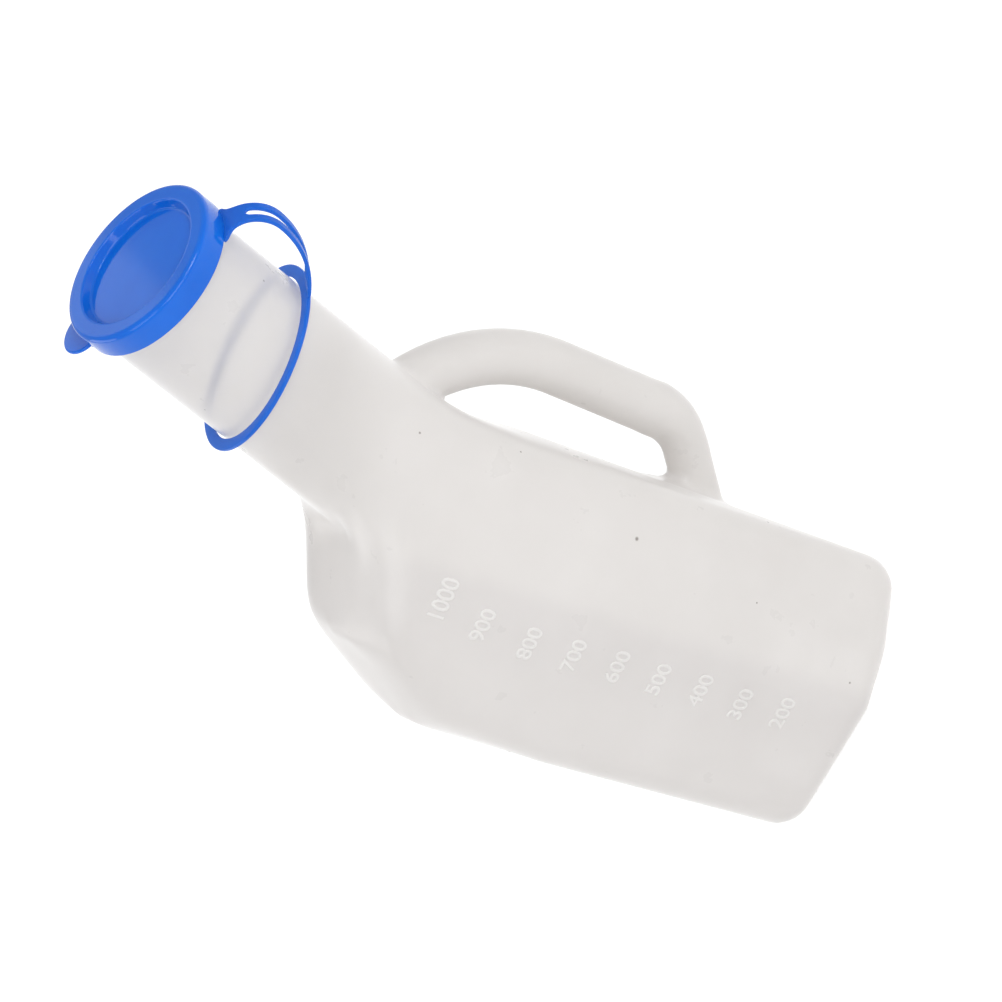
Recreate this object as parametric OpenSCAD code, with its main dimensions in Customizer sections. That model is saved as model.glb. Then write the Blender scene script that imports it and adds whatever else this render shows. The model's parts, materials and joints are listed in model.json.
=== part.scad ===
// Hand-held urine bottle: a blow-moulded bottle with an integral hollow handle
// and a slanted neck, and a tethered press-on closure moulded in one piece.
// The bottle stands on its base at the origin with its height along Z. The neck
// leans towards +X, the handle is on the +X side and the resting side faces -X.

/* [Body] */
// Distance from the centre to the handle-side wall at the base
wall_handle = 44.6; // [43:0.1:46]
// Distance from the centre to the resting-side wall at the base
wall_rest = 43.6; // [41:0.1:46]
// Half width of the handle-side wall
half_w_handle = 34.4; // [32:0.1:36]
// Half width at the widest line of the body
half_w_ridge = 39; // [37:0.1:42]
// Half width of the resting-side wall
half_w_rest = 27.1; // [25:0.1:30]
// Edge radius of the handle-side corners
edge_handle = 11.7; // [9:0.1:14]
// Edge radius along the widest line
edge_ridge = 11.9; // [9:0.1:14]
// Edge radius of the resting-side corners
edge_rest = 10.3; // [8:0.1:12]
// Height where the resting-side wall turns into the shoulder
shoulder_z = 137.8; // [130:0.1:142]
// Height of the top of the shoulder
shoulder_top_z = 180; // [176:0.1:182]
// Position along X of the shoulder's resting-side upper corner
shoulder_x = -23; // [-26:0.1:-20]
// Half width of the shoulder's upper corner
shoulder_half_w = 29; // [26:0.1:32]
// Wall thickness of the blow-moulded bottle
wall = 1.3; // [0.9:0.1:1.5]

/* [Neck] */
// Lean of the neck from the vertical, in degrees
neck_lean = 17.86; // [14:0.01:20]
// Position of the mouth's centre along X
mouth_x = 61.6; // [55:0.1:65]
// Height of the mouth's centre
mouth_z = 280.5; // [272:0.1:286]
// Outer radius of the neck
neck_r = 24.1; // [23.9:0.1:24.2]
// How far the lip stands proud of the neck
lip_proud = 0.15; // [0.1:0.05:0.3]

/* [Handle] */
// Outer radius of the hollow grip
grip_r = 8.5; // [7:0.1:9]
// Outer radius of the lower leg
leg_r = 7; // [6:0.1:8.2]
// Bend radius where the grip leaves the neck
upper_bend = 65; // [62:0.5:68]
// Bend radius where the grip turns back to the body
lower_bend = 22; // [20:0.5:26]
// Greatest distance of the grip's centre line from the bottle's axis
grip_x = 70.3; // [69:0.1:72]
// Height of the centre of the upper bend
grip_top_z = 134; // [130:0.5:138]
// Length of the straight grip
grip_len = 40; // [36:0.5:44]
// Slope of the grip towards the body on its way down, in degrees
grip_slope = 3.9; // [2:0.1:5]
// Angle through which the lower leg turns back to the body
leg_turn = 52; // [45:1:56]

/* [Cap] */
// Outer radius of the cap's skirt
cap_r = 26.8; // [26.4:0.1:27.2]
// Inner radius of the skirt
skirt_in_r = 25; // [24.9:0.05:25.2]
// Height of the cap's rim above the mouth
cap_top = 1.5; // [1.2:0.1:2]
// Depth of the skirt below the mouth
skirt_depth = 7; // [5:0.1:8]
// Radius of the recess at the top face
recess_r = 21.1; // [20.6:0.1:21.4]
// Radius of the recess floor
recess_floor_r = 19.9; // [19.2:0.1:20]
// Depth of the recess
recess_depth = 2.9; // [2:0.1:3]
// Thickness of the recess floor and the thumb tab
cap_wall = 1.2; // [1:0.1:1.3]
// Radius of the thumb tab
tab_r = 8.2; // [6:0.1:10]

/* [Tether] */
// Direction of the strap, in degrees around the neck from +X towards -Y
strap_dir = 35; // [25:1:45]
// Thickness of the strap
strap_t = 1.2; // [0.8:0.1:1.5]
// Overall width of the twin-strand strap
strap_w = 8; // [6:0.2:9]
// Width of the slot between the two strands
slot_w = 2.8; // [1.5:0.1:4]
// Radius of the strap's bend next to the cap
bend_r = 10.6; // [9.5:0.1:11]
// Radius of the strap's long curve down to the ring
sweep_r = 31.4; // [29:0.1:34]
// Inner radius of the ring round the neck
ring_in_r = 25.5; // [25.45:0.05:25.8]
// Outer radius of the ring
ring_out_r = 29.1; // [28.6:0.1:30]
// Thickness of the ring
ring_t = 1.2; // [0.8:0.1:1.2]
// Distance of the ring's centre below the mouth
ring_drop = 50.5; // [46:0.5:54]
// Tilt of the ring on the neck, in degrees
ring_tilt = 17; // [12:0.5:17]
// Direction of the ring's high side, in degrees from +X towards -Y
ring_tilt_dir = 44; // [35:1:50]

/* [Hidden] */
milky = [0.93, 0.92, 0.91];
blue = [0.11, 0.36, 0.80];
round_fn = 128;
tube_fn = 48;

// Below the shoulder the resting-side wall leans in and the handle-side wall out
wall_rest_top = wall_rest - 0.9;
wall_handle_top = wall_handle + 4.2;
ridge_x = 2;
shoulder_r = 8;
rest_turn_r = edge_rest + 4;

// Distances from the origin to the corner centres
handle_corner_x = wall_handle_top - edge_handle;
handle_corner_y = half_w_handle - edge_handle;
rest_corner_x = edge_rest - wall_rest;
rest_corner_y = half_w_rest - edge_rest;
ridge_y = half_w_ridge - edge_ridge;
shoulder_y = shoulder_half_w - shoulder_r;
shoulder_corner_z = shoulder_top_z - shoulder_r;

// Outlines whose common volume is the body, as anticlockwise corner circles:
// [across, up, radius], where PLAN lies in X-Y, SIDE in X-Z and FRONT in Y-Z
PLAN = [
    [handle_corner_x, -handle_corner_y, edge_handle],
    [handle_corner_x, handle_corner_y, edge_handle],
    [ridge_x, ridge_y, edge_ridge],
    [rest_corner_x, rest_corner_y, edge_rest],
    [rest_corner_x, -rest_corner_y, edge_rest],
    [ridge_x, -ridge_y, edge_ridge]
];
SIDE = [
    [rest_corner_x, edge_rest, edge_rest],
    [wall_handle - edge_handle, edge_handle, edge_handle],
    [handle_corner_x, shoulder_z + 13, edge_handle],
    [10, shoulder_corner_z, shoulder_r],
    [shoulder_x + shoulder_r, shoulder_corner_z - 5.5, shoulder_r],
    [rest_turn_r - wall_rest_top, shoulder_z - 1, rest_turn_r]
];
FRONT = [
    [-ridge_y, edge_ridge, edge_ridge],
    [ridge_y, edge_ridge, edge_ridge],
    [ridge_y, shoulder_z + 2, edge_ridge],
    [shoulder_y, shoulder_corner_z, shoulder_r],
    [-shoulder_y, shoulder_corner_z, shoulder_r],
    [-ridge_y, shoulder_z + 2, edge_ridge]
];

// Strap in its own plane: [distance from the neck's axis, height from the mouth].
// Angles along it are negative on the long curve and positive on the bend.
web_top = strap_t - skirt_depth - 0.9;
bend_centre = [27.9, web_top - strap_t / 2 - bend_r];
sweep_centre = bend_centre + [bend_r - sweep_r, 0];
ring_angle = -50.5;
flex_angle = 42.6;
flex_gap = 0.6; // degrees left open on each side of the flex line
arc_step = 3;
slot_cut = 2; // reach of the slot's cutter on each side of the middle line
slot_margin = 5; // degrees from the ring end, and past the flex line

// Direction of the outward normal of the line that touches two circles
function touch_angle(first, second) =
    atan2(second[1] - first[1], second[0] - first[0])
    - acos((first[2] - second[2]) / norm([second[0] - first[0], second[1] - first[1]]));

// The angle brought into the full turn that starts at base
function angle_above(base, angle) =
    angle < base ? angle_above(base, angle + 360)
    : angle >= base + 360 ? angle_above(base, angle - 360)
    : angle;

// Outline round a ring of circles, moved in by inset
function belt(circles, inset = 0, steps = 5) = [
    for (i = [0:len(circles) - 1])
        let (count = len(circles),
             here = circles[i],
             next = circles[(i + 1) % count],
             start = touch_angle(circles[(i + count - 1) % count], here),
             end = angle_above(start, touch_angle(here, next)))
        for (k = [0:steps])
            let (angle = start + (end - start) * k / steps)
            [here[0] + (here[2] - inset) * cos(angle), here[1] + (here[2] - inset) * sin(angle)]
];

function reversed(list) = [for (i = [len(list) - 1:-1:0]) list[i]];

// Points of an arc, from point number first onwards
function arc(centre, radius, start, end, first = 0) =
    let (steps = ceil((end - start) / arc_step))
    [for (k = [first:steps])
        let (angle = start + (end - start) * k / steps)
        centre + radius * [cos(angle), sin(angle)]];

// Line beside the strap's middle line; the bend skips the point both arcs share
function strap_line(side, start, end) = concat(
    start < 0 ? arc(sweep_centre, sweep_r + side, start, 0) : [],
    arc(bend_centre, bend_r + side, max(start, 0), end, start < 0 ? 1 : 0));

// Closed section along the strap, with extra points at its end if given
function strap_section(half_t, start, end, tip = []) =
    concat(strap_line(half_t, start, end), tip, reversed(strap_line(-half_t, start, end)));

// Places children on the neck's axis, below the mouth by drop
module on_neck(drop = 0, turn = 0)
    translate([mouth_x, 0, mouth_z])
        rotate([0, neck_lean, 0])
            translate([0, 0, -drop])
                rotate([0, 0, -turn])
                    children();

// Everything behind the slanting side wall between PLAN corner i and the next,
// with the foot and the shoulder of the wall rounded
module side_wall(i, inset) {
    corner = PLAN[i];
    facing = touch_angle(corner, PLAN[i + 1]);
    distance = corner[0] * cos(facing) + corner[1] * sin(facing) + corner[2];
    reach = 90; // well past the body on every side
    rotate([0, 0, facing])
        translate([0, reach, 0])
            rotate([90, 0, 0])
                linear_extrude(2 * reach)
                    polygon(belt([
                        [-reach, edge_rest, edge_rest],
                        [distance - edge_rest, edge_rest, edge_rest],
                        [distance - edge_rest, shoulder_z + 4, edge_rest],
                        [distance - 9 - shoulder_r, shoulder_corner_z, shoulder_r],
                        [-reach, shoulder_top_z, edge_rest]
                    ], inset));
}

// The body's form: the common volume of its side walls and three outlines
module body_form(inset = 0) {
    reach = 60;
    intersection() {
        side_wall(1, inset);
        side_wall(2, inset);
        mirror([0, 1, 0]) side_wall(1, inset);
        mirror([0, 1, 0]) side_wall(2, inset);
        linear_extrude(shoulder_top_z + 20) polygon(belt(PLAN, inset));
        translate([0, reach, 0])
            rotate([90, 0, 0])
                linear_extrude(2 * reach) polygon(belt(SIDE, inset));
        translate([-reach, 0, 0])
            rotate([90, 0, 90])
                linear_extrude(2 * reach) polygon(belt(FRONT, inset));
    }
}

// The neck's form; the inset form runs out past the mouth to open it
module neck_form(inset = 0) {
    length = 120;
    on_neck(length)
        cylinder(r = neck_r - inset, h = inset == 0 ? length : length + 1, $fn = round_fn);
}

// One bend of the handle's tube in the X-Z plane; centre is [x, z]
module tube_bend(centre, bend, radius, start, end)
    translate([centre[0], 0, centre[1]])
        rotate([90, 0, 0])
            rotate([0, 0, start])
                rotate_extrude(angle = end - start, $fn = round_fn)
                    translate([bend, 0]) circle(r = radius, $fn = tube_fn);

// The handle's form: upper bend, straight grip, lower bend and lower leg
module handle_form(inset = 0) {
    outward = [cos(grip_slope), -sin(grip_slope)];
    downward = [-sin(grip_slope), -cos(grip_slope)];
    upper_centre = [grip_x - upper_bend, grip_top_z];
    grip_foot = upper_centre + upper_bend * outward + grip_len * downward;
    lower_centre = grip_foot - lower_bend * outward;

    // The straight pieces run a little way into the bends, a hair thinner
    overlap = 0.5;
    thin = 0.02;
    straight_grip_r = grip_r - inset - thin;
    straight_leg_r = leg_r - inset - thin;
    taper_len = 6;
    grip_start = overlap + taper_len - 0.1;
    leg_len = 14;

    tube_bend(upper_centre, upper_bend, grip_r - inset, -grip_slope, 50);
    translate([grip_foot[0], 0, grip_foot[1]]) rotate([0, grip_slope, 0]) {
        translate([0, 0, -overlap])
            cylinder(r = straight_leg_r, h = 1.5, $fn = tube_fn);
        translate([0, 0, overlap])
            cylinder(r1 = straight_leg_r, r2 = straight_grip_r, h = taper_len, $fn = tube_fn);
        translate([0, 0, grip_start])
            cylinder(r = straight_grip_r, h = grip_len + overlap - grip_start, $fn = tube_fn);
    }
    tube_bend(lower_centre, lower_bend, leg_r - inset, -grip_slope - leg_turn, -grip_slope);
    translate([lower_centre[0], 0, lower_centre[1]])
        rotate([0, grip_slope + leg_turn, 0])
            translate([lower_bend, 0, -leg_len])
                cylinder(r = straight_leg_r, h = leg_len + overlap, $fn = tube_fn);
}

// Hollow bottle: body, leaning neck with a lip just below the mouth, and handle
module bottle() {
    color(milky) difference() {
        union() {
            body_form();
            neck_form();
            handle_form();
            on_neck(3) cylinder(r = neck_r + lip_proud, h = 2.2, $fn = round_fn);
        }
        body_form(wall);
        neck_form(wall);
        handle_form(wall);
    }
}

// Flat ring that hangs loose round the neck
module neck_ring() {
    color(blue) on_neck(ring_drop, ring_tilt_dir) rotate([0, -ring_tilt, 0])
        difference() {
            translate([0, 0, -ring_t / 2]) cylinder(r = ring_out_r, h = ring_t, $fn = round_fn);
            translate([0, 0, -ring_t]) cylinder(r = ring_in_r, h = 2 * ring_t, $fn = round_fn);
        }
}

// Stands a section in the strap's plane and gives it a width
module across(width)
    on_neck(0, strap_dir)
        rotate([90, 0, 0])
            translate([0, 0, -width / 2])
                linear_extrude(width) children();

// Twin strands from the flex line down to the ring: one strip with a long slot
module tether_strap() {
    color(blue) difference() {
        across(strap_w)
            polygon(strap_section(strap_t / 2, ring_angle, flex_angle - flex_gap));
        across(slot_w)
            polygon(strap_section(slot_cut, ring_angle + slot_margin, flex_angle + slot_margin));
    }
}

// Press-on cap: rim, skirt, tapered recess that sits in the mouth, thumb tab
module cap() {
    rim_round = 1.6;
    rim_under_z = 0.05; // clearance above the mouth
    floor_z = cap_top - recess_depth;
    floor_chamfer = 0.5;
    under_z = floor_z - cap_wall;
    under_r = recess_floor_r + cap_wall + 0.2;
    under_chamfer = 0.6;
    color(blue) on_neck() {
        rotate_extrude($fn = round_fn) polygon(concat(
            [[0, floor_z],
             [recess_floor_r - floor_chamfer, floor_z],
             [recess_floor_r, floor_z + floor_chamfer],
             [recess_r, cap_top]],
            [for (angle = [90:-15:0])
                [cap_r - rim_round, cap_top - rim_round] + rim_round * [cos(angle), sin(angle)]],
            [[cap_r, -skirt_depth],
             [skirt_in_r, -skirt_depth],
             [skirt_in_r, rim_under_z],
             [recess_r + 1.1, rim_under_z],
             [under_r, under_z + under_chamfer],
             [under_r - under_chamfer, under_z],
             [0, under_z]]));
        // Thumb tab at the skirt's foot, opposite the strap
        rotate([0, 0, 180 - strap_dir]) difference() {
            translate([cap_r, 0, -skirt_depth]) cylinder(r = tab_r, h = cap_wall, $fn = 64);
            translate([0, 0, -skirt_depth - 1]) cylinder(r = cap_r - 0.6, h = 4, $fn = round_fn);
        }
    }
}

// Web that joins the cap's skirt to the strap, up to the flex line
module strap_web() {
    root_x = skirt_in_r - 2;
    under_z = web_top - strap_t;
    bore_depth = 20;
    // Half of the web's flared plan: [distance from the neck's axis, half width]
    flare = [[root_x, 8.5], [cap_r - 0.8, 7.2], [cap_r + 0.4, 5], [bend_centre[0], strap_w / 2]];
    color(blue) difference() {
        union() {
            across(strap_w)
                polygon(strap_section(strap_t / 2, flex_angle + flex_gap, 90,
                                      [[root_x, web_top], [root_x, under_z]]));
            on_neck(0, strap_dir)
                translate([0, 0, under_z])
                    linear_extrude(strap_t)
                        polygon(concat([for (point = flare) [point[0], -point[1]]],
                                       reversed(flare)));
        }
        on_neck(bore_depth) cylinder(r = skirt_in_r + 0.3, h = bore_depth, $fn = round_fn);
        across(slot_w) polygon(strap_section(slot_cut, flex_angle - slot_margin, 60));
    }
}

bottle();
neck_ring();
tether_strap();
cap();
strap_web();
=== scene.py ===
# A milky blow-moulded bottle with a hollow side handle, and a blue cap tethered to a neck ring.
# It stands upright on z = 0, symmetric about y = 0. The handle is on the +X side and the neck
# leans that way. The raised graduation is on the -Y wall. Sizes are in millimetres, except in
# materials, lights and camera, which use metres.
import bpy, bmesh, json, math
import numpy as np
from mathutils import Vector, Matrix
from mathutils.bvhtree import BVHTree


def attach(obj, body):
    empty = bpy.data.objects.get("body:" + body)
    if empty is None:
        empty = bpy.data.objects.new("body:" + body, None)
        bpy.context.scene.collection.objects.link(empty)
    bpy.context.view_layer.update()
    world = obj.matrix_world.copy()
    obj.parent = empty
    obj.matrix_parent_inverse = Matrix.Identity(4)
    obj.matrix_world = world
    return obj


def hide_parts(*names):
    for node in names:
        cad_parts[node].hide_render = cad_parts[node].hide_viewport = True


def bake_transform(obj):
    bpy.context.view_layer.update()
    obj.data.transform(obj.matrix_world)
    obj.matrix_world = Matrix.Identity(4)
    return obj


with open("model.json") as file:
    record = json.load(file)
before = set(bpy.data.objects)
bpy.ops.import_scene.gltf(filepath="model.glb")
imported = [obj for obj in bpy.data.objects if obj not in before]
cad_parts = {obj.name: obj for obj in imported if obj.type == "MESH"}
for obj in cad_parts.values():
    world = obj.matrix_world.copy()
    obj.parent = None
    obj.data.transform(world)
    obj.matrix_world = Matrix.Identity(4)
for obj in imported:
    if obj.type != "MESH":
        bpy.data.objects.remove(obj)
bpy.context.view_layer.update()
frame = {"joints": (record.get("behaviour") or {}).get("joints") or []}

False  # a quick build is the same as a full one: there is no simulation to shorten
MM = 0.001


# ---------------------------------------------------------------- neck frame
def unit(v):
    return v / np.linalg.norm(v)


joints = {j["name"]: j for j in frame["joints"]}
AXIS = unit(np.array(joints["tether_turn"]["axis"], float))     # up the neck
MOUTH = np.array(joints["tether_turn"]["pos_m"], float) * 1000  # centre of the mouth
ACROSS = np.array([0.0, 1.0, 0.0])
HANDLEWARD = unit(np.cross(ACROSS, AXIS))
TANGENT = unit(np.array(joints["cap_swing"]["axis"], float))    # across the strap
OUTWARD = unit(np.cross(TANGENT, AXIS))                         # from the neck to the strap


def neck_point(r, deg, s):
    """Point at radius r, direction deg (positive towards -Y) and height s above the mouth."""
    a = np.radians(deg)
    return MOUTH + r * (np.cos(a) * HANDLEWARD - np.sin(a) * ACROSS) + s * AXIS


# ---------------------------------------------------------------- bottle form
# The body is the hull of balls at these centres (x, y, z) and their mirrors in y.
BALL_CENTRES = [
    (33.7, 23.4, 12.0), (17.0, 27.8, 11.3), (1.0, 28.6, 11.3), (-32.3, 16.6, 11.3),
    (7.0, 28.0, 80.0), (4.0, 28.0, 160.0), (34.3, 22.8, 46.0), (36.2, 22.9, 152.0),
    (-33.3, 16.4, 139.4), (38.7, 7.0, 160.0), (-17.9, 20.5, 168.4), (9.0, 20.6, 174.6),
    (37.5, 15.0, 188.0)]
BALL_RADIUS = 11.3
BALL_SHRINK = 2.3        # the balls are this much smaller at the shoulder
NECK_RADIUS = 24.1
NECK_FLARE = 0.15        # added to the radius low on the neck
NECK_ABOVE, NECK_BELOW = 8, 122    # extent of the neck cylinder about the mouth

GRIP_CENTRE = np.array([5.3, 134.0])    # (x, z) of the arc of the grip
GRIP_ARC = 65
GRIP_END = -3.9          # degrees; the grip runs straight on from here
GRIP_STRAIGHT = 40
GRIP_RADIUS = 8.5
BEND_ARC = 22.0          # bend back to the body below the grip

WEB_HALF_WIDTH = 5.2
WEB_MAX_X = 57.2
WEB_BOTTOM, WEB_TOP = 69.0, 79.0
HOLE_X, HOLE_RADIUS = 52.2, 5.7


def ease(t):
    t = np.clip(t, 0, 1)
    return t * t * (3 - 2 * t)


def smooth_min(a, b, k):
    """Union of two distances, blended over the width k."""
    h = np.clip(0.5 + 0.5 * (b - a) / k, 0, 1)
    return b * (1 - h) + a * h - k * h * (1 - h)


def hull_faces(points):
    """Triangles (a, b, c, outward normal) of the convex hull."""
    count, faces = len(points), []
    for i in range(count):
        for j in range(i + 1, count):
            for k in range(j + 1, count):
                a, b, c = points[i], points[j], points[k]
                normal = np.cross(b - a, c - a)
                length = np.linalg.norm(normal)
                if length < 1e-6:
                    continue
                normal = normal / length
                height = (points - a) @ normal
                if height.max() < 1e-6:
                    faces.append((a, b, c, normal))
                elif height.min() > -1e-6:
                    faces.append((a, c, b, -normal))
    return faces


def to_segment(X, a, b):
    """Nearest place along the segment (0 to 1) and squared distance to it."""
    ab = b - a
    t = np.clip(((X - a) @ ab) / (ab @ ab), 0, 1)
    return t, ((X - a - t[:, None] * ab) ** 2).sum(1)


def to_triangle(X, a, b, c, normal):
    """Squared distance to a triangle."""
    height = (X - a) @ normal
    flat = X - height[:, None] * normal
    over = np.ones(len(X), bool)
    edge = np.full(len(X), np.inf)
    for p, q in ((a, b), (b, c), (c, a)):
        over &= ((flat - p) @ np.cross(normal, q - p)) >= -1e-9
        edge = np.minimum(edge, to_segment(X, p, q)[1])
    return np.where(over, height * height, edge)


HULL = hull_faces(np.array([(x, s * y, z) for x, y, z in BALL_CENTRES for s in (-1, 1)], float))
HULL_NORMALS = np.array([normal for _, _, _, normal in HULL])
HULL_OFFSETS = np.array([a @ normal for a, _, _, normal in HULL])


def body_sdf(X):
    half = X.copy()
    half[:, 1] = -np.abs(half[:, 1])
    heights = half @ HULL_NORMALS.T - HULL_OFFSETS
    d = heights.max(1)
    outside = np.where(d > 0)[0]
    points, heights = half[outside], heights[outside]
    squared = np.full(len(points), 1e18)
    for i, face in enumerate(HULL):
        # only a face turned to the point can hold its nearest point
        facing = np.where(heights[:, i] > 0)[0]
        if len(facing):
            squared[facing] = np.minimum(squared[facing], to_triangle(points[facing], *face))
    d[outside] = np.sqrt(squared)
    return d - (BALL_RADIUS - BALL_SHRINK * np.clip((X[:, 2] - 135) / 30, 0, 1))


def neck_sdf(X):
    q = X - MOUTH
    s = q @ AXIS
    radius = NECK_RADIUS + NECK_FLARE * np.clip((-s - 60) / 40, 0, 1)
    side = np.hypot(q @ HANDLEWARD, q @ ACROSS) - radius
    return np.maximum(side, np.maximum(s - NECK_ABOVE, -s - NECK_BELOW))


def handle_path():
    """Centre line of the handle from the top down, and the handle's radius along it."""
    def spoke(deg):
        return np.array([np.cos(np.radians(deg)), np.sin(np.radians(deg))])

    points = [GRIP_CENTRE + GRIP_ARC * spoke(a) for a in np.arange(58, GRIP_END, -4)]
    end = spoke(GRIP_END)
    start = GRIP_CENTRE + GRIP_ARC * end
    down = np.array([end[1], -end[0]])
    points += [start + down * t for t in np.arange(0, GRIP_STRAIGHT, 5)]
    radii = [GRIP_RADIUS] * len(points)
    bend_centre = start + down * GRIP_STRAIGHT - BEND_ARC * end
    for a in np.arange(GRIP_END, -56, -5):
        points.append(bend_centre + BEND_ARC * spoke(a))
        radii.append(8.7 - 1.5 * min(1, (GRIP_END - a) / 40))
    last = points[-1]
    onward = unit(last - points[-2])
    for t in (5, 10, 15):
        points.append(last + onward * t)
        radii.append(7.1)
    return np.array([(x, 0, z) for x, z in points]), np.array(radii)


HANDLE_POINTS, HANDLE_RADII = handle_path()


def handle_sdf(X):
    out = np.full(len(X), 60.0)
    near = X[:, 0] > 25
    points = X[near]
    best = np.full(len(points), 1e9)
    for i in range(len(HANDLE_POINTS) - 1):
        t, squared = to_segment(points, HANDLE_POINTS[i], HANDLE_POINTS[i + 1])
        radius = HANDLE_RADII[i] * (1 - t) + HANDLE_RADII[i + 1] * t
        best = np.minimum(best, np.sqrt(squared) - radius)
    out[near] = best
    return out


def web_sdf(X):
    """Fills the lower end of the hand hole to a half round."""
    x, y, z = X.T
    slab = np.maximum(np.abs(y) - WEB_HALF_WIDTH,
                      np.maximum(x - WEB_MAX_X, np.maximum(WEB_BOTTOM - z, z - WEB_TOP)))
    return np.maximum(slab, HOLE_RADIUS - np.hypot(x - HOLE_X, z - WEB_TOP))


def bottle_sdf(X):
    # the neck runs into the body softly at the sides, sharply near the plane y = 0
    x, y, z = X.T
    d = smooth_min(body_sdf(X), neck_sdf(X), 3.0 + 16.0 * ease((np.abs(y) - 5) / 13))
    handle = handle_sdf(X)
    near = (x > 38) & (x < 64) & (z > 50) & (z < 95)
    handle[near] = smooth_min(handle[near], web_sdf(X[near]), 2.0)
    return smooth_min(d, handle, 1.6 + 2.4 * ease((150 - z) / 25))


# ---------------------------------------------------------------- surface meshing
def surface_nets(f, low, high, step):
    """Quad mesh of the surface f = 0 inside a box: one vertex in each cell it crosses."""
    axes = [np.arange(low[i], high[i] + step, step) for i in range(3)]
    n = [len(a) for a in axes]
    nodes = np.stack(np.meshgrid(*axes, indexing="ij"), -1).reshape(-1, 3)
    # a grid three times as coarse finds the nodes that need a true distance
    coarse = [np.arange(m // 3 + 1) * 3 for m in n]
    centres = [low[i] + coarse[i] * step + step for i in range(3)]
    D = f(np.stack(np.meshgrid(*centres, indexing="ij"), -1).reshape(-1, 3))
    D = D.reshape([len(c) for c in coarse]).repeat(3, 0).repeat(3, 1).repeat(3, 2)
    D = D[:n[0], :n[1], :n[2]].reshape(-1).copy()
    near = np.where(np.abs(D) < 3.2 * step)[0]
    batch = 150000
    for i in range(0, len(near), batch):
        D[near[i:i + batch]] = f(nodes[near[i:i + batch]])
    D = D.reshape(n)
    inside = D < 0

    corners = [np.array((i, j, k)) for i in (0, 1) for j in (0, 1) for k in (0, 1)]
    count = sum(inside[i:n[0] - 1 + i, j:n[1] - 1 + j, k:n[2] - 1 + k].astype(np.int8)
                for i, j, k in corners)
    active = (count > 0) & (count < 8)
    index = -np.ones(active.shape, int)
    index[active] = np.arange(active.sum())
    cells = np.argwhere(active)

    # each vertex is the mean of the crossings on its cell's twelve edges
    total, crossings = np.zeros((len(cells), 3)), np.zeros(len(cells))
    for corner in corners:
        for axis in range(3):
            if corner[axis]:
                continue
            other = corner.copy()
            other[axis] = 1
            da = D[tuple((cells + corner).T)]
            db = D[tuple((cells + other).T)]
            cut = (da < 0) != (db < 0)
            t = np.where(cut, da / np.where(cut, da - db, 1), 0)
            crossing = corner + t[:, None] * (other - corner)
            total[cut] += crossing[cut]
            crossings[cut] += 1
    V = (cells + total / crossings[:, None]) * step + np.array(low)

    # each grid edge that crosses the surface gives the quad of its four cells
    F = []
    for axis in range(3):
        u, v = (axis + 1) % 3, (axis + 2) % 3
        first = inside.take(range(0, n[axis] - 1), axis)
        second = inside.take(range(1, n[axis]), axis)
        edges = np.argwhere(first != second)
        leaving = first[tuple(edges.T)]
        kept = ((edges[:, u] > 0) & (edges[:, v] > 0)
                & (edges[:, u] < n[u] - 1) & (edges[:, v] < n[v] - 1))
        edges, leaving = edges[kept], leaving[kept]

        def cell(du, dv):
            e = edges.copy()
            e[:, u] -= du
            e[:, v] -= dv
            return index[tuple(e.T)]
        quads = np.stack([cell(1, 1), cell(0, 1), cell(0, 0), cell(1, 0)], 1)
        quads[~leaving] = quads[~leaving][:, ::-1]
        F.append(quads)
    return V, np.concatenate(F)


def settle(f, V, rounds, e=0.05):
    """Moves the vertices onto the surface f = 0."""
    for _ in range(rounds):
        slope = np.stack([f(V + e * d) - f(V - e * d) for d in np.eye(3)], 1)
        slope /= np.maximum(np.linalg.norm(slope, axis=1)[:, None], 1e-9)
        V = V - f(V)[:, None] * slope * 0.95
    return V


def edge_ends(F):
    """Both ends of every quad edge, listed in both directions."""
    e = np.concatenate([F[:, [0, 1]], F[:, [1, 2]], F[:, [2, 3]], F[:, [3, 0]]])
    return np.concatenate([e[:, 0], e[:, 1]]), np.concatenate([e[:, 1], e[:, 0]])


def neighbour_mean(V, here, there):
    n = len(V)
    total = np.stack([np.bincount(here, weights=V[there, i], minlength=n) for i in range(3)], 1)
    return total / np.maximum(np.bincount(here, minlength=n), 1)[:, None]


def relax(f, V, F, rounds):
    """Evens out the mesh along the surface, then puts it back on the surface."""
    ends = edge_ends(F)
    for _ in range(rounds):
        V = V + 0.6 * (neighbour_mean(V, *ends) - V)
        V = settle(f, V, 1)
    return V


def soften(V, F, weight, rounds):
    """Flows the weighted part of the mesh to its neighbours, which melts shallow creases."""
    ends = edge_ends(F)
    for _ in range(rounds):
        V = V + 0.5 * weight[:, None] * (neighbour_mean(V, *ends) - V)
    return V


# ---------------------------------------------------------------- mesh helpers
def link_object(name, data):
    o = bpy.data.objects.new(name, data)
    bpy.context.collection.objects.link(o)
    return o


def shade_smooth(mesh):
    mesh.polygons.foreach_set("use_smooth", [True] * len(mesh.polygons))


def mesh_object(name, V, F, material, merge=1e-7):
    """Smooth object from points in mm, with points closer than merge (metres) joined."""
    mesh = bpy.data.meshes.new(name)
    mesh.from_pydata([tuple(np.array(v) * MM) for v in V], [],
                     [tuple(int(i) for i in f) for f in F])
    mesh.validate()
    mesh.update()
    o = link_object(name, mesh)
    shade_smooth(mesh)
    bm = bmesh.new()
    bm.from_mesh(mesh)
    bmesh.ops.remove_doubles(bm, verts=bm.verts, dist=merge)
    bmesh.ops.recalc_face_normals(bm, faces=bm.faces)
    bm.to_mesh(mesh)
    bm.free()
    mesh.update()
    mesh.materials.append(material)
    return o


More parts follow.
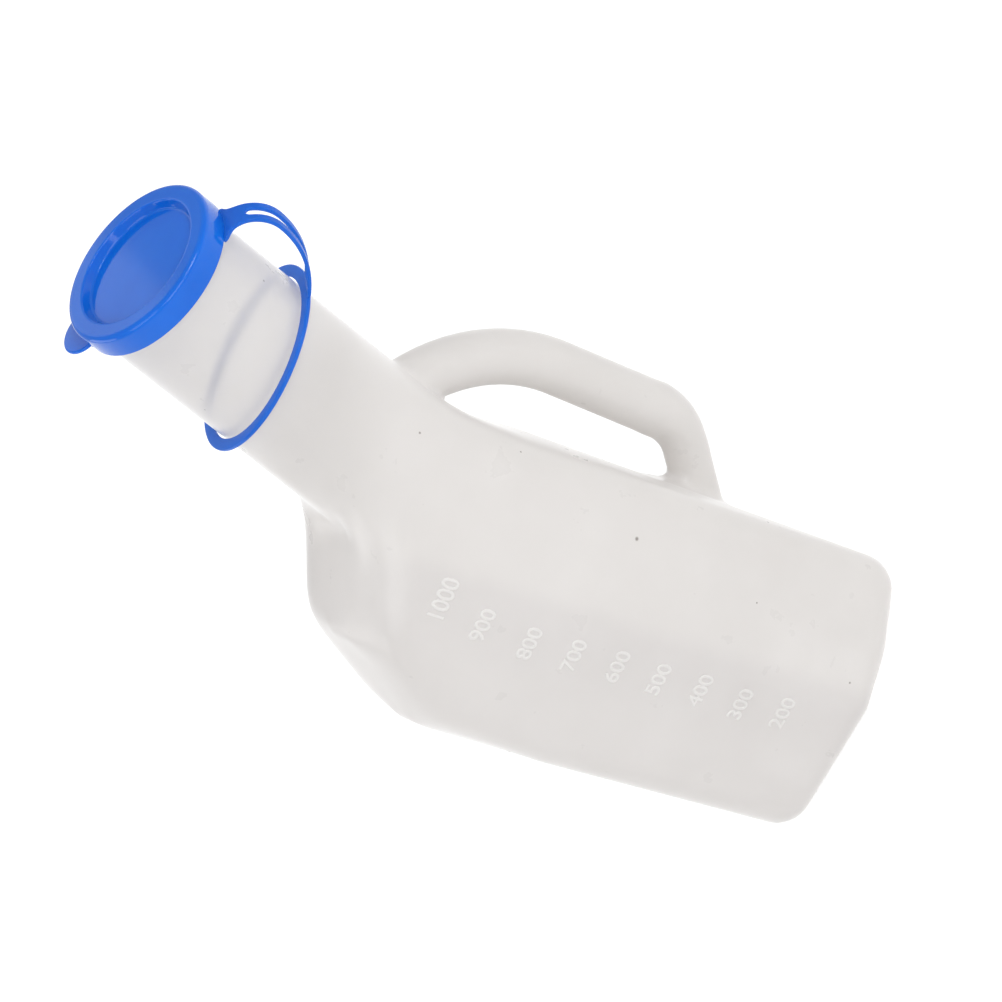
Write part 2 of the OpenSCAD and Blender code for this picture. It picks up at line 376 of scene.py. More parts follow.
def evaluated_mesh(o):
    """The object's mesh with its modifiers applied."""
    depsgraph = bpy.context.evaluated_depsgraph_get()
    return bpy.data.meshes.new_from_object(o.evaluated_get(depsgraph), depsgraph=depsgraph)


def lathe(name, profile, segments, place, material):
    """Turns a closed profile [(r, s)...] about an axis; place(r, deg, s) gives the point."""
    V, F, rows = [], [], []
    for r, s in profile:
        if abs(r) < 1e-6:
            rows.append([len(V)])
            V.append(place(0, 0, s))
        else:
            rows.append(list(range(len(V), len(V) + segments)))
            V += [place(r, 360.0 * i / segments, s) for i in range(segments)]
    for i, a in enumerate(rows):
        b = rows[(i + 1) % len(rows)]
        if len(a) == 1 and len(b) == 1:
            continue
        for k in range(segments):
            k2 = (k + 1) % segments
            if len(a) == 1:
                F.append((a[0], b[k], b[k2]))
            elif len(b) == 1:
                F.append((a[k2], a[k], b[0]))
            else:
                F.append((a[k], b[k], b[k2], a[k2]))
    return mesh_object(name, V, F, material, merge=0.00001)


def fillet(corners, steps):
    """Points of a closed outline of corners (x, y, radius), with its corners rounded."""
    out = []
    for i, (x, y, radius) in enumerate(corners):
        p = np.array((x, y), float)
        if radius <= 0:
            out.append(tuple(p))
            continue
        a = np.array(corners[i - 1][:2], float) - p
        b = np.array(corners[(i + 1) % len(corners)][:2], float) - p
        length_a, length_b = np.linalg.norm(a), np.linalg.norm(b)
        a /= length_a
        b /= length_b
        half = math.acos(np.clip(a @ b, -1, 1)) / 2
        setback = min(radius / math.tan(half), 0.49 * length_a, 0.49 * length_b)
        fitted = setback * math.tan(half)
        centre = p + unit(a + b) * fitted / math.sin(half)
        v0, v1 = p + a * setback - centre, p + b * setback - centre
        sweep = math.acos(np.clip(v0 @ v1 / (fitted * fitted), -1, 1))
        for k in range(steps + 1):
            t = k / steps
            arc = math.sin((1 - t) * sweep) * v0 + math.sin(t * sweep) * v1
            out.append(tuple(centre + arc / math.sin(sweep)))
    return out


# ---------------------------------------------------------------- materials
class Shader:
    """A material under construction."""

    def __init__(self, name):
        self.material = bpy.data.materials.new(name)
        self.material.use_nodes = True
        self.tree = self.material.node_tree
        self.tree.nodes.clear()
        self.output = self.add("OutputMaterial")

    def add(self, kind, inputs=None, **settings):
        """Adds a node; each input is given a value or the socket to link from."""
        node = self.tree.nodes.new("ShaderNode" + kind)
        for key, value in settings.items():
            setattr(node, key, value)
        for key, value in (inputs or {}).items():
            if isinstance(value, bpy.types.NodeSocket):
                self.tree.links.new(value, node.inputs[key])
            else:
                node.inputs[key].default_value = value
        return node

    def object_place(self):
        return self.add("TexCoord").outputs["Object"]

    def noise(self, place, scale, detail, roughness):
        return self.add("TexNoise", {"Vector": place, "Scale": scale, "Detail": detail,
                                     "Roughness": roughness}).outputs["Fac"]

    def math(self, operation, *values, clamp=False):
        return self.add("Math", dict(enumerate(values)), operation=operation,
                        use_clamp=clamp).outputs[0]

    def map_range(self, value, source, target, **settings):
        return self.add("MapRange", {
            "Value": value, "From Min": source[0], "From Max": source[1],
            "To Min": target[0], "To Max": target[1]}, **settings).outputs[0]

    def ramp(self, factor, stops):
        node = self.add("ValToRGB", {0: factor})
        elements = node.color_ramp.elements
        while len(elements) < len(stops):
            elements.new(0.5)
        for element, (position, colour) in zip(elements, stops):
            element.position = position
            element.color = (*colour, 1)
        return node.outputs[0]

    def mix_colour(self, factor, a, b, **settings):
        return self.add("Mix", {"Factor": factor, "A": a, "B": b}, data_type="RGBA",
                        **settings).outputs["Result"]

    def bump(self, height, strength, distance, **below):
        return self.add("Bump", {"Height": height, "Strength": strength, "Distance": distance,
                                 **below}).outputs["Normal"]

    def bsdf(self, kind, **inputs):
        return self.add("Bsdf" + kind, inputs).outputs[0]

    def mix(self, factor, a, b):
        return self.add("MixShader", {0: factor, 1: a, 2: b}).outputs[0]

    def finish(self, surface):
        self.tree.links.new(surface, self.output.inputs["Surface"])
        return self.material


# dark specks caught in the resin: centre and radius in mm
SPECKS = [
    ((29.37, -35.99, 107.66), 0.62), ((21.52, -37.91, 58.38), 0.30),
    ((68.19, -18.42, 250.31), 0.36), ((40.10, -26.84, 188.0), 0.36),
    ((43.59, -27.42, 151.9), 0.30), ((27.47, -7.84, 248.88), 0.26),
    ((6.34, -39.63, 15.51), 0.34), ((-20.0, 30.0, 60.0), 0.5),
    ((12.0, 37.0, 118.0), 0.4), ((61.0, 5.0, 100.0), 0.4)]
SPECK_COLOUR = (0.20, 0.17, 0.15, 1)
# painted shade: the body below the ridge of its sides (x under about 8 mm) and under the shoulder
# is darkened, most just below the ridge and less towards the front; the darkening is the product
# of these fades: axis, range in metres, strengths
PAINTED_SHADE_FADES = [("X", (0.0005, 0.0085), (1.0, 0.0)), ("Z", (0.172, 0.190), (1.0, 0.0)),
              ("X", (-0.028, -0.006), (0.6, 1.0))]
# cloudiness of the resin (ramp position, colour), and the tint of the painted shade
WALL_RESIN_AND_PAINTED_SHADE = ([(0.30, (0.778, 0.760, 0.745)), (0.55, (0.800, 0.783, 0.769)),
               (0.75, (0.820, 0.805, 0.792))], (0.945, 0.942, 0.948, 1))
# painted highlight: the numerals' resin is lighter than the wall's, though they are moulded as
# one, standing in for the light their raised edges catch; their painted shade is fainter
NUMERAL_RESIN_AND_PAINTED_LIGHT = ([(0.3, (0.845, 0.834, 0.824)), (0.6, (0.862, 0.851, 0.841)),
                  (1.0, (0.875, 0.864, 0.854))], (0.985, 0.985, 0.985, 1))


def milky_base(name, resin_and_painted_light):
    """What the milky materials share: place, resin colour with a painted shade, grain, and two
    light paths.
    """
    clouds, painted_shade_tint = resin_and_painted_light
    sh = Shader(name)
    place = sh.object_place()
    colour = sh.ramp(sh.noise(place, scale=26.0, detail=3.0, roughness=0.55), clouds)
    grain = sh.noise(place, scale=420.0, detail=2.0, roughness=0.5)

    specks = None
    for centre, radius in SPECKS:
        distance = sh.add("VectorMath", {0: place, 1: tuple(c * MM for c in centre)},
                          operation="DISTANCE").outputs["Value"]
        speck = sh.map_range(distance, (radius * MM * 0.5, radius * MM * 1.3), (0.85, 0.0))
        specks = speck if specks is None else sh.math("MAXIMUM", specks, speck)
    colour = sh.mix_colour(specks, colour, SPECK_COLOUR)

    xyz = sh.add("SeparateXYZ", {0: place}).outputs
    fades = [sh.map_range(xyz[axis], source, target, interpolation_type="SMOOTHSTEP")
             for axis, source, target in PAINTED_SHADE_FADES]
    # painted shade: the resin colour is darkened by the tint where the fades overlap
    painted_shade = sh.math("MULTIPLY", sh.math("MULTIPLY", fades[0], fades[1]), fades[2])
    colour = sh.mix_colour(painted_shade, colour, painted_shade_tint, blend_type="MULTIPLY")

    normal = sh.bump(grain, strength=0.12, distance=0.00006)
    glow = sh.bsdf("Translucent", Color=colour, Normal=normal)
    clear = sh.bsdf("Transparent", Color=(0.94, 0.935, 0.93, 1))
    return sh, place, colour, normal, glow, clear


def milky(name, resin_and_painted_light, see_through):
    """Natural polyethylene: cloudy, lets light through, with a satin skin and a faint grain."""
    sh, place, colour, normal, glow, clear = milky_base(name, resin_and_painted_light)
    diffuse = sh.bsdf("Diffuse", Color=colour, Normal=normal)
    frosted = sh.bsdf("Refraction", Roughness=0.50, IOR=1.05, Color=(0.93, 0.925, 0.92, 1))
    scatter = sh.mix(0.44, diffuse, glow)
    see = sh.mix(0.40, frosted, clear)
    # clearer towards the neck, and denser where the wall is seen edge-on
    height = sh.add("SeparateXYZ", {0: place}).outputs["Z"]
    clarity = sh.map_range(height, (0.190, 0.222), (0.28 * see_through, see_through),
                           interpolation_type="SMOOTHSTEP")
    facing = sh.add("LayerWeight", {"Blend": 0.5}).outputs["Facing"]
    edge = sh.math("MULTIPLY_ADD", facing, -0.85, 1.0)
    body = sh.mix(sh.math("MULTIPLY", clarity, edge, clamp=True), scatter, see)

    patches = sh.noise(place, scale=90.0, detail=4.0, roughness=0.6)
    gloss = sh.add("BsdfGlossy", {"Roughness": 0.30, "Normal": normal, "Color": (1, 1, 1, 1)})
    roughness = sh.math("MULTIPLY_ADD", patches, 0.10, 0.24)
    sh.tree.links.new(roughness, gloss.inputs["Roughness"])
    # Schlick's rule, the same from both sides of the wall
    facing = sh.add("LayerWeight", {"Blend": 0.5, "Normal": normal}).outputs["Facing"]
    fresnel = sh.math("MULTIPLY_ADD", sh.math("POWER", facing, 5.0), 0.82, 0.029)
    return sh.finish(sh.mix(fresnel, body, gloss.outputs[0]))


def milky_inside(name):
    """Inner skin of the wall: almost clear, with a little glow."""
    sh, _, _, _, glow, clear = milky_base(name, WALL_RESIN_AND_PAINTED_SHADE)
    return sh.finish(sh.mix(0.10, clear, glow))


def blue(name, thin=0.0):
    """Injection-moulded blue polyethylene with a satin gloss; thin is the share of glow."""
    sh = Shader(name)
    place = sh.object_place()
    flow = sh.noise(place, scale=38.0, detail=3.0, roughness=0.5)
    grain = sh.noise(place, scale=700.0, detail=2.0, roughness=0.5)
    broad = sh.bump(flow, strength=0.03, distance=0.0002)
    surface = sh.add("BsdfPrincipled", {
        "Base Color": sh.ramp(flow, [(0.3, (0.002, 0.098, 0.50)), (0.7, (0.005, 0.122, 0.58))]),
        "Normal": sh.bump(grain, strength=0.10, distance=0.00004, Normal=broad),
        "Roughness": sh.math("MULTIPLY_ADD", flow, 0.03, 0.075),
        "IOR": 1.5,
        "Specular IOR Level": 0.28,
        "Subsurface Weight": 0.15,
        "Subsurface Radius": (0.0006, 0.0010, 0.0025),
        "Subsurface Scale": 1.0}).outputs[0]
    if thin:
        surface = sh.mix(thin, surface, sh.bsdf("Translucent", Color=(0.24, 0.52, 0.95, 1)))
    return sh.finish(surface)


MILKY = milky("milky_polyethylene", WALL_RESIN_AND_PAINTED_SHADE, see_through=0.62)
MILKY_INSIDE = milky_inside("milky_polyethylene_inside")
# a copy of the milky material for the numerals, painted lighter and never seen through
MILKY_NUMERALS = milky("milky_polyethylene_numerals", NUMERAL_RESIN_AND_PAINTED_LIGHT, see_through=0.0)
BLUE = blue("blue_polyethylene")
BLUE_THIN = blue("blue_polyethylene_thin", thin=0.45)

# ---------------------------------------------------------------- bottle
WALL = 1.3
CELL = 1.8               # size of the surface mesh's grid
CUT = -9.0               # the moulded skin stops here; turned rings make the lip above it
OUTER, INNER = NECK_RADIUS, NECK_RADIUS - WALL
# (radius, height above the mouth), from the outer skin over the rim to the inner skin
LIP = [(OUTER, CUT + 0.9), (OUTER, -4.2), (OUTER + 0.04, -3.5), (OUTER + 0.2, -2.9),
       (OUTER + 0.25, -2.2), (OUTER + 0.25, -1.5), (OUTER + 0.16, -0.85), (OUTER - 0.08, -0.35),
       (OUTER - 0.35, -0.08), (OUTER - 0.65, 0.0), (INNER + 0.5, -0.05), (INNER + 0.2, -0.28),
       (INNER + 0.03, -0.7), (INNER, -1.4), (INNER, -4.5), (INNER, CUT + 0.9)]
LIP_SEGMENTS = 96


def outer_skin():
    """The bottle's outer skin in mm, cut open below the lip."""
    V, F = surface_nets(bottle_sdf, (-50, -45, -6), (96, 45, 294), CELL)
    V = settle(bottle_sdf, V, 2)
    V = relax(bottle_sdf, V, F, 2)
    V = settle(bottle_sdf, V, 1)
    # the join of neck and shoulder melts at the sides, clear of the handle
    below_mouth = -((V - MOUTH) @ AXIS)
    weight = (ease((np.abs(V[:, 1]) - 4) / 9) * ease((V[:, 2] - 100) / 30)
              * ease((below_mouth - 66) / 16) * ease((handle_sdf(V) - 1) / 6))
    V = soften(V, F, weight, 110)
    bm = bmesh.new()
    verts = [bm.verts.new(v) for v in V]
    for f in F:
        bm.faces.new([verts[i] for i in f])
    bmesh.ops.bisect_plane(bm, geom=bm.verts[:] + bm.edges[:] + bm.faces[:], dist=1e-4,
                           plane_co=Vector(MOUTH + AXIS * CUT), plane_no=Vector(AXIS),
                           clear_outer=True)
    bm.normal_update()
    middle = Vector((0, 0, 90))
    if sum(f.normal.dot(f.calc_center_median() - middle) for f in bm.faces) < 0:
        bmesh.ops.reverse_faces(bm, faces=bm.faces)
    bm.verts.ensure_lookup_table()
    bm.verts.index_update()
    bm.normal_update()
    return bm


def open_rim(bm):
    """The vertices round the open edge, in order."""
    rim, previous = [next(v for v in bm.verts if v.is_boundary)], None
    while True:
        here = rim[-1]
        onward = [e.other_vert(here) for e in here.link_edges if e.is_boundary]
        onward = [v for v in onward if v != previous]
        if not onward or onward[0] == rim[0]:
            return rim
        previous = here
        rim.append(onward[0])


def stitch(bm, ring_a, ring_b, material_index):
    """Joins two rings round the neck with triangles, in order of their angle."""
    turn = 2 * math.pi

    def turned(ring):
        q = np.array([v.co for v in ring]) - MOUTH
        a = np.unwrap(np.arctan2(q @ ACROSS, q @ HANDLEWARD))
        if a[-1] < a[0]:
            ring, a = ring[::-1], a[::-1]
        k = int(np.argmin(a % turn))
        a = np.concatenate([a[k:], a[:k] + turn])
        a = list(a - turn * math.floor(a[0] / turn))
        return ring[k:] + ring[:k], a + [a[0] + turn]

    (ring_a, angle_a), (ring_b, angle_b) = turned(ring_a), turned(ring_b)
    na, nb = len(ring_a), len(ring_b)
    i = j = 0
    while i < na or j < nb:
        a, b = ring_a[i % na], ring_b[j % nb]
        if j >= nb or (i < na and angle_a[i + 1] <= angle_b[j + 1]):
            i += 1
            face = bm.faces.new((a, ring_a[i % na], b))
        else:
            j += 1
            face = bm.faces.new((a, ring_b[j % nb], b))
        face.material_index = material_index


def add_inner_skin(bm):
    """Adds the skin one wall thickness inside; returns the outer and inner rims."""
    outer = np.array([v.co for v in bm.verts])
    faces = [[v.index for v in f.verts] for f in bm.faces]
    normals = np.zeros_like(outer)
    for f in bm.faces:
        weighted = np.array(f.normal) * f.calc_area()
        for v in f.verts:
            normals[v.index] += weighted
    normals /= np.linalg.norm(normals, axis=1)[:, None]
    inner = outer - WALL * normals
    # keep the inner skin's rim on the cut plane
    outer_rim = open_rim(bm)
    rim = [v.index for v in outer_rim]
    inner[rim] -= np.outer((inner[rim] - MOUTH) @ AXIS - CUT, AXIS)
    verts = [bm.verts.new(v) for v in inner]
    for f in faces:
        bm.faces.new([verts[i] for i in reversed(f)]).material_index = 1
    return outer_rim, [verts[i] for i in rim]


def add_lip(bm, outer_rim, inner_rim):
    rows = [[bm.verts.new(neck_point(r, 360.0 * k / LIP_SEGMENTS, s))
             for k in range(LIP_SEGMENTS)] for r, s in LIP]
    for a, b in zip(rows, rows[1:]):
        for k in range(LIP_SEGMENTS):
            k2 = (k + 1) % LIP_SEGMENTS
            bm.faces.new((a[k], b[k], b[k2], a[k2]))
    stitch(bm, rows[0], outer_rim, 0)
    stitch(bm, rows[-1], inner_rim, 1)


def build_bottle():
    """Builds the bottle and returns its outer skin for ray casting, in mm."""
    bm = outer_skin()
    skin = BVHTree.FromBMesh(bm)
    add_lip(bm, *add_inner_skin(bm))
    bmesh.ops.recalc_face_normals(bm, faces=bm.faces)
    for v in bm.verts:
        v.co *= MM
    mesh = bpy.data.meshes.new("bottle_shell")
    bm.to_mesh(mesh)
    bm.free()
    shade_smooth(mesh)
    bottle = link_object("bottle_shell", mesh)
    mesh.materials.append(MILKY)
    mesh.materials.append(MILKY_INSIDE)
    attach(bottle, "bottle")
    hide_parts("bottle")
    return skin


# ---------------------------------------------------------------- graduation
# raised numerals on the -Y wall: text, x and z of its centre
NUMERALS = [("1000", -4.5, 165.2), ("900", -8.3, 150.2), ("800", -9.6, 132.6),
            ("700", -9.4, 116.0), ("600", -9.0, 99.6), ("500", -9.2, 83.4),
            ("400", -8.8, 67.2), ("300", -9.6, 50.8), ("200", -8.6, 34.6)]
NUMERAL_SIZE = 7.3
# from the foot to the face of a numeral: outline offset, height above the wall
NUMERAL_LEVELS = [(0.18, -0.25), (0.18, 0.0), (0.04, 0.18), (-0.10, 0.26)]


def flat_text(text):
    """Flat filled text: points, their outward directions on the outline, faces, outline edges."""
    curve = bpy.data.curves.new("num", "FONT")
    curve.body = text
    curve.size = NUMERAL_SIZE
    curve.align_x = "CENTER"
    curve.align_y = "CENTER"
    curve.space_character = 0.95
    curve.resolution_u = 3
    o = link_object("num", curve)
    mesh = evaluated_mesh(o)
    bpy.data.objects.remove(o)
    bm = bmesh.new()
    bm.from_mesh(mesh)
    bmesh.ops.remove_doubles(bm, verts=bm.verts, dist=1e-4)
    points = np.array([v.co for v in bm.verts])[:, :2]
    faces = [[v.index for v in f.verts] for f in bm.faces]
    border = [e for e in bm.edges if e.is_boundary]
    outline = [[v.index for v in e.verts] for e in border]
    outward = np.zeros((len(points), 2))
    for e in border:
        p, q = e.verts
        along = q.co - p.co
        normal = Vector((along.y, -along.x))
        inward = e.link_faces[0].calc_center_median() - (p.co + q.co) / 2
        if normal.dot(inward.xy) > 0:
            normal = -normal
        for v in (p, q):
            outward[v.index] += np.array(normal.normalized())
    length = np.linalg.norm(outward, axis=1)[:, None]
    outward = np.where(length > 1e-6, outward / np.maximum(length, 1e-6), 0)
    bm.free()
    return points, outward, faces, outline


def build_graduation(skin):
    bm = bmesh.new()
    for text, centre_x, centre_z in NUMERALS:
        points, outward, faces, outline = flat_text(text)
        levels = []
        for offset, rise in NUMERAL_LEVELS:
            level = []
            for px, pz in points + outward * offset:
                x, z = centre_x + px, centre_z + pz
                # only the depth follows the wall, so the numerals stay upright
                hit, normal, _, _ = skin.ray_cast(Vector((x, -60.0, z)), Vector((0, 1, 0)))
                y = hit.y - rise / max(0.5, -normal.y)
                level.append(bm.verts.new(np.array((x, y, z)) * MM))
            levels.append(level)
        for f in faces:
            bm.faces.new([levels[-1][i] for i in f])
            bm.faces.new([levels[0][i] for i in reversed(f)])
        for p, q in outline:
            for low, high in zip(levels, levels[1:]):
                bm.faces.new((low[p], low[q], high[q], high[p]))
    bmesh.ops.recalc_face_normals(bm, faces=bm.faces)
    mesh = bpy.data.meshes.new("graduation_numerals")
    bm.to_mesh(mesh)
    bm.free()
    graduation = link_object("graduation_numerals", mesh)
    mesh.materials.append(MILKY_NUMERALS)
    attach(graduation, "bottle")


# ---------------------------------------------------------------- neck ring
RING_DEPTH = 50.5        # ring centre below the mouth
RING_TILT = math.radians(17)
RING_DIRECTION = math.radians(44.0)    # the side that is tilted up
RING_INNER, RING_OUTER = 25.45, 29.15
RING_HALF_THICK = 0.6


def build_ring():
    level = math.cos(RING_DIRECTION) * HANDLEWARD - math.sin(RING_DIRECTION) * ACROSS
    side = np.cross(AXIS, level)
    normal = AXIS * math.cos(RING_TILT) - level * math.sin(RING_TILT)
    raised = level * math.cos(RING_TILT) + AXIS * math.sin(RING_TILT)
    centre = MOUTH - AXIS * RING_DEPTH

    def ring_point(r, deg, s):
        a = np.radians(deg)
        return centre + r * (np.cos(a) * raised + np.sin(a) * side) + s * normal

    profile = fillet([(RING_INNER, -RING_HALF_THICK, 0.3), (RING_OUTER, -RING_HALF_THICK, 0.38),
                      (RING_OUTER, RING_HALF_THICK, 0.38), (RING_INNER, RING_HALF_THICK, 0.3)], 3)
    ring = lathe("neck_ring", profile, 192, ring_point, BLUE_THIN)
    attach(ring, "tether")
    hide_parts("neck_ring")


# ---------------------------------------------------------------- strap
# The middle line leaves the cap flat, bends down, then drops along a wide arc to the ring.
STRAP_START = 25.3       # distance from the neck axis
STRAP_THICK = 1.2
BEND_CENTRE = np.array([27.9, -17.9])    # (outward, height above the mouth)
BEND_RADIUS = 10.6
DROP_RADIUS = 31.4
DROP_CENTRE = np.array([BEND_CENTRE[0] + BEND_RADIUS - DROP_RADIUS, BEND_CENTRE[1]])
FLAT_END = BEND_CENTRE[0] - STRAP_START
BEND_END = FLAT_END + BEND_RADIUS * math.pi / 2
STRAP_END = BEND_END + DROP_RADIUS * math.radians(49.8)
# a slot parts the strap into two strands
SLOT_START = FLAT_END + BEND_RADIUS * math.radians(31)
SLOT_END = STRAP_END - 3.2
SLOT_HALF_WIDTH = 1.35
SLOT_ROUND = 1.3         # length over which the slot's ends narrow
# lengths along the strap at which it has a row of points
STRAP_ROWS = sorted(set(
    [0, 0.8, 1.6, 2.4, 3.2, 4.2, 5.2, SLOT_START - 1.2, SLOT_START - 0.5, SLOT_START,
     SLOT_START + 0.5, SLOT_START + 1.2, SLOT_END - 1.2, SLOT_END - 0.5, SLOT_END,
     SLOT_END + 0.5, SLOT_END + 1.4, STRAP_END]
    + list(np.arange(SLOT_START + 2.2, SLOT_END - 2.0, 1.25))))


def strap_point(u, v, w):
    """Point at length u along the strap, v across it and w out from its middle line."""
    if u < FLAT_END:
        p, n = np.array([STRAP_START + u, BEND_CENTRE[1] + BEND_RADIUS]), np.array([0.0, 1.0])
    else:
        if u < BEND_END:
            centre, radius = BEND_CENTRE, BEND_RADIUS
            a = math.pi / 2 - (u - FLAT_END) / radius
        else:
            centre, radius = DROP_CENTRE, DROP_RADIUS
            a = -(u - BEND_END) / radius
        n = np.array([math.cos(a), math.sin(a)])
        p = centre + radius * n
    q = p + n * w
    return MOUTH + OUTWARD * q[0] + AXIS * q[1] + TANGENT * v


def strap_columns(u):
    """Places across the strap; it widens at both ends and the slot's ends are rounded."""
    half = (4.0 + 3.2 * math.exp(-max(u - 1.4, 0) / 1.5)
            + 1.1 * math.exp(-max(STRAP_END - u, 0) / 2.0))
    opening = 1.0
    for t in (u - SLOT_START, SLOT_END - u):
        if 0 <= t < SLOT_ROUND:
            arc = math.sqrt(max(0.0, 1 - (1 - t / SLOT_ROUND) ** 2))
            opening = min(opening, arc * 0.75 + 0.25)
    slot = SLOT_HALF_WIDTH * opening
    return [-half, -half + 0.4, -slot - 0.4, -slot, 0, slot, slot + 0.4, half - 0.4, half]


def build_strap():
    V, F, grid = [], [], {}
    for i, u in enumerate(STRAP_ROWS):
        for j, v in enumerate(strap_columns(u)):
            for k, w in enumerate((-STRAP_THICK / 2, STRAP_THICK / 2)):
                grid[i, j, k] = len(V)
                V.append(strap_point(u, v, w))
    # the two middle columns are left out along the slot
    solid = {(i, j) for i in range(len(STRAP_ROWS) - 1) for j in range(8)
             if not (j in (3, 4) and STRAP_ROWS[i] >= SLOT_START - 1e-6
                     and STRAP_ROWS[i + 1] <= SLOT_END + 1e-6)}
    for (i, j) in solid:
        a, b, c, d = (i, j), (i + 1, j), (i + 1, j + 1), (i, j + 1)
        F.append(tuple(grid[(*p, 1)] for p in (a, b, c, d)))
        F.append(tuple(grid[(*p, 0)] for p in (a, d, c, b)))
        # side walls where there is no neighbour
        for p, q, neighbour in ((a, b, (i, j - 1)), (d, c, (i, j + 1)),
                                (a, d, (i - 1, j)), (b, c, (i + 1, j))):
            if neighbour not in solid:
                F.append((grid[(*p, 0)], grid[(*q, 0)], grid[(*q, 1)], grid[(*p, 1)]))
    used = sorted({i for f in F for i in f})
    renumbered = {old: new for new, old in enumerate(used)}
    strap = mesh_object("tether_strap", [V[i] for i in used],
                        [[renumbered[i] for i in f] for f in F], BLUE_THIN)
    subdivision = strap.modifiers.new("sub", "SUBSURF")
    subdivision.levels = 2
    subdivision.render_levels = 2
    mesh = evaluated_mesh(strap)
    strap.modifiers.clear()
    strap.data = mesh
    mesh.materials.clear()
    mesh.materials.append(BLUE_THIN)
    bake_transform(strap)
    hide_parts("tether_strap", "strap_web")


# ---------------------------------------------------------------- cap
CAP_PANEL = -1.4         # height of the sunken middle panel
CAP_BOTTOM = -7.0
DOME_RADIUS, DOME_RISE = 19.2, 0.2    # the panel swells a little
# (radius, height above the mouth, corner radius), over the top and back along the underside
CAP_PROFILE = [
    (0, CAP_PANEL, 0), (19.9, CAP_PANEL, 0.7), (21.1, 1.5, 0.5), (26.8, 1.5, 1.7),
    (26.8, CAP_BOTTOM, 0.35), (24.55, CAP_BOTTOM, 0.3), (24.55, -6.2, 0.3), (25.0, -5.5, 0.2),
    (25.0, 0.06, 0.2), (22.2, 0.06, 0.2), (21.1, -2.3, 0.4), (20.5, -2.6, 0.3), (0, -2.6, 0)]
FLAT_STEP, FLAT_MARGIN = 2.0, 0.35    # spacing of extra rows on flats, and their end rows


def build_cap():
    profile = fillet(CAP_PROFILE, 6)
    # finer rows so that the shading runs smoothly over the flats
    fine = []
    for i, point in enumerate(profile):
        a, b = np.array(point), np.array(profile[(i + 1) % len(profile)])
        fine.append(tuple(a))
        length = np.linalg.norm(b - a)
        if length > FLAT_STEP:
            fine.append(tuple(a + (b - a) * (FLAT_MARGIN / length)))
            for t in np.arange(FLAT_STEP, length - 1.5, FLAT_STEP):
                fine.append(tuple(a + (b - a) * (t / length)))
            fine.append(tuple(b - (b - a) * (FLAT_MARGIN / length)))
    domed = []
    for r, s in fine:
        if abs(s - CAP_PANEL) < 1e-6 and r < DOME_RADIUS:
            s += DOME_RISE * (1 - (r / DOME_RADIUS) ** 2)
        domed.append((r, s))
    cap = lathe("cap_shell", domed, 160, neck_point, BLUE)
    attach(cap, "cap")
    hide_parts("cap")


# thumb tab: a rounded tongue with a soft edge, opposite the strap
TAB_CENTRE, TAB_RADIUS = 27.0, 8.2
TAB_ROOT, TAB_ROOT_HALF = 25.35, 9.4    # inner edge, inside the cap's skirt
# (inset of the outline, height above the mouth)
TAB_LEVELS = [(0.75, CAP_BOTTOM), (0.25, -6.94), (0.0, -6.65), (0.0, -6.15), (0.25, -5.86),
              (0.75, -5.8)]


def build_tab():
    arc = [(TAB_CENTRE + TAB_RADIUS * math.cos(a), TAB_RADIUS * math.sin(a))
           for a in map(math.radians, np.linspace(-100, 100, 41))]
    outline = [(TAB_ROOT, -TAB_ROOT_HALF)] + arc + [(TAB_ROOT, TAB_ROOT_HALF)]
    n = len(outline)
    V, F = [], []
    for inset, s in TAB_LEVELS:
        for point in outline:
            x, y = point - unit(np.array(point) - np.array([TAB_CENTRE, 0])) * inset
            V.append(MOUTH + max(x, TAB_ROOT) * -OUTWARD + y * TANGENT + s * AXIS)
    rings = [list(range(i * n, (i + 1) * n)) for i in range(len(TAB_LEVELS))]
    for a, b in zip(rings, rings[1:]):
        for k in range(n):
            k2 = (k + 1) % n
            F.append((a[k], a[k2], b[k2], b[k]))
    F.append(tuple(reversed(rings[0])))
    F.append(tuple(rings[-1]))
    tab = mesh_object("thumb_tab", V, F, BLUE)
    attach(tab, "cap")


# ---------------------------------------------------------------- stage, light and camera
# soft boxes: name, location, size (m), power (W)
SOFTBOXES = [("key", (1.22, -1.02, 1.35), (0.7, 0.6), 11),
             ("fill", (-1.0, -0.7, 1.5), (1.2, 1.0), 8),
             ("front", (0.15, -1.7, 1.35), (1.3, 1.0), 13),
             ("back", (-1.3, 0.9, 0.7), (1.2, 0.8), 6)]
LIGHT_TARGET = Vector((0.0, 0, 0.14))
CAMERA_PLACE = Vector((0.0860297, -1.464107, 1.182050))
CAMERA_RIGHT = Vector((0.313732, -0.544330, -0.777786))
CAMERA_UP = Vector((0.948945, 0.208035, 0.237041))
CAMERA_BACK = Vector((0.032790, -0.812443, 0.581806))
CARD_SIZE = (0.5, 0.8)
CARD_DISTANCE = 1500     # mm from the cap


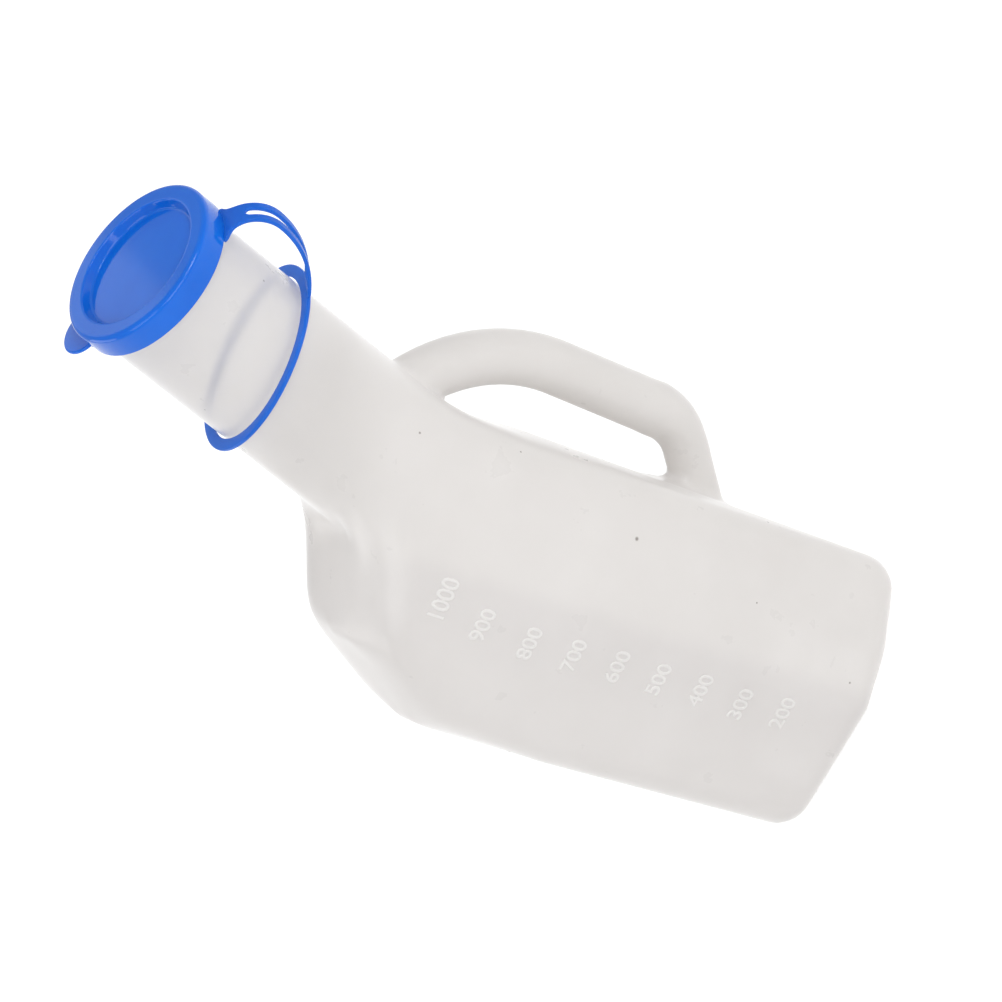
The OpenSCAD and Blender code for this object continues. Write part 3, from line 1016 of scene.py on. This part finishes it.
def build_stage():
    mesh = bpy.data.meshes.new("floor")
    mesh.from_pydata([(-6, -6, 0), (6, -6, 0), (6, 6, 0), (-6, 6, 0)], [], [(0, 1, 2, 3)])
    floor = link_object("floor", mesh)
    sh = Shader("pale_floor")
    surface = sh.add("BsdfPrincipled", {
        "Base Color": (0.56, 0.56, 0.56, 1),
        "Emission Color": (1, 1, 1, 1),
        "Emission Strength": 0.60,
        "Roughness": 0.9,
        "Specular IOR Level": 0.1})
    mesh.materials.append(sh.finish(surface.outputs[0]))
    world = bpy.data.worlds.new("studio")
    bpy.context.scene.world = world
    world.use_nodes = True
    background = world.node_tree.nodes["Background"]
    background.inputs["Color"].default_value = (1.0, 1.0, 1.0, 1)
    background.inputs["Strength"].default_value = 0.63


def area_light(name, size, power):
    light = bpy.data.lights.new(name, "AREA")
    light.shape = "RECTANGLE"
    light.size, light.size_y = size
    light.energy = power
    return link_object(name, light)


def placed(x_axis, y_axis, z_axis, origin):
    matrix = Matrix([Vector(a) for a in (x_axis, y_axis, z_axis)]).transposed().to_4x4()
    matrix.translation = Vector(origin)
    return matrix


def build_camera():
    data = bpy.data.cameras.new("camera")
    data.type = "PERSP"
    data.sensor_width = 36.0
    data.lens = 215.56886
    data.clip_start = 0.05
    data.clip_end = 50
    camera = link_object("camera", data)
    camera.matrix_world = placed(CAMERA_RIGHT, CAMERA_UP, CAMERA_BACK, CAMERA_PLACE)
    bpy.context.scene.camera = camera


def build_card():
    """A card that the camera sees mirrored in one half of the cap's panel."""
    panel = MOUTH + CAP_PANEL * AXIS
    eye = np.array(CAMERA_PLACE) * 1000
    mirrored_eye = eye - 2 * ((eye - panel) @ AXIS) * AXIS
    # where two opposite places on the panel, 9 mm or so from its centre, send the view
    across = -0.75 * np.array(CAMERA_RIGHT) - 0.66 * np.array(CAMERA_UP)
    across = across - (across @ AXIS) * AXIS
    near, far = (p + CARD_DISTANCE * unit(p - mirrored_eye)
                 for p in (panel + across * 9.0, panel - across * 9.0))
    middle = (near + far) / 2
    out = unit(near - far)
    face = unit(panel - middle)
    side = unit(np.cross(out, face))
    out = np.cross(face, side)
    # one edge of the card passes through the middle of the reflected view
    centre = (middle + out * (CARD_SIZE[0] * 1000 / 2)) * MM
    area_light("card", CARD_SIZE, 1.0).matrix_world = placed(out, side, -face, centre)


skin = build_bottle()
build_graduation(skin)
build_ring()
build_strap()
build_cap()
build_tab()
build_stage()
for name, location, size, power in SOFTBOXES:
    light = area_light(name, size, power)
    light.location = location
    aim = LIGHT_TARGET - Vector(location)
    light.rotation_euler = aim.to_track_quat("-Z", "Y").to_euler()
build_camera()
build_card()
view = bpy.context.scene.view_settings
view.view_transform = "Standard"
view.look = "None"
